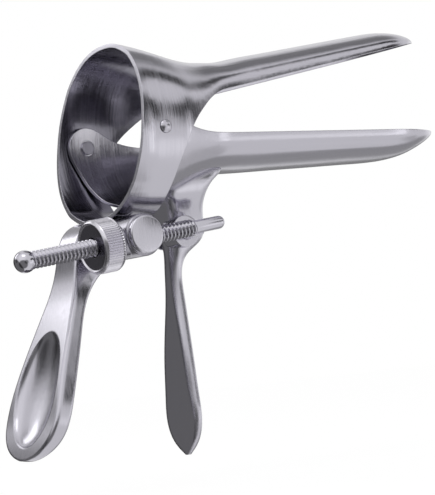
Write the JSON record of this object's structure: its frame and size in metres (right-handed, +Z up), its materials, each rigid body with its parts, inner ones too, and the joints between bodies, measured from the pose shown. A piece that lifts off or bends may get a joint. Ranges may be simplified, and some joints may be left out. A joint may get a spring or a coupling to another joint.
{
  "type": "duck-bill speculum",
  "caption": "Hinged duck-bill speculum with long trough blades, a flared collar, a thumb lever, a front handle and a side screw whose knurled nut holds the opening.",
  "frame": {"origin": "the middle of the hinge axis, halfway between the two rivets", "axes": "+X forward along the lower blade's edges towards the tips, +Y to the left, +Z up, away from the handles"},
  "size_m": [0.1602, 0.0473, 0.1232],
  "materials": {
    "pressed_steel": "pressed stainless sheet, polished blades and a satin collar band with fine upright brush lines",
    "forged_steel": "forged stainless steel, finely ground and polished, with crisp worn-bright edges",
    "turned_steel": "turned and polished stainless steel",
    "screw_steel": "bright stainless rod with a fine right-hand V thread",
    "nut_steel": "turned nut with a fine straight knurl, bright bevels and a dished rear face"
  },
  "bodies": {
    "lower_valve": {"lower_blade": "pressed_steel", "front_handle": "forged_steel", "screw_boss": "forged_steel", "hinge_rivet_left": "turned_steel", "hinge_rivet_right": "turned_steel"},
    "upper_valve": {"upper_blade": "pressed_steel", "rear_lever": "forged_steel"},
    "swivel": {"swivel_block": "turned_steel", "swivel_cap": "turned_steel", "swivel_washer": "turned_steel"},
    "screw": {"pivot_stud": "turned_steel", "stud_washer": "turned_steel", "adjusting_screw": "screw_steel", "ball_stop": "turned_steel"},
    "nut": {"knurled_nut": "nut_steel"}
  },
  "joints": [
    {"name": "blade_hinge", "type": "hinge", "parent": "lower_valve", "child": "upper_valve", "pos_m": [0, 0, 0], "axis": [0, -1, 0], "range_deg": [-14, 16]},
    {"name": "screw_pivot", "type": "hinge", "parent": "lower_valve", "child": "screw", "pos_m": [0.0136, 0, -0.0284], "axis": [0, -1, 0], "range_deg": [-7.8, 8.9]},
    {"name": "swivel_pivot", "type": "hinge", "parent": "upper_valve", "child": "swivel", "pos_m": [-0.008, 0, -0.0296], "axis": [0, -1, 0], "range_deg": [-7.5, 6.6]},
    {"name": "nut_spin", "type": "hinge", "parent": "swivel", "child": "nut", "pos_m": [-0.0079, -0.0135, -0.03038], "axis": [0.9927, 0, 0.1209], "range_deg": [-2090, 2390]}
  ],
  "couplings": [
    {"joint": "screw_pivot", "follows": "blade_hinge", "ratio": 0.5422},
    {"joint": "swivel_pivot", "follows": "blade_hinge", "ratio": -0.4578},
    {"joint": "nut_spin", "follows": "blade_hinge", "ratio": 146.7}
  ]
}
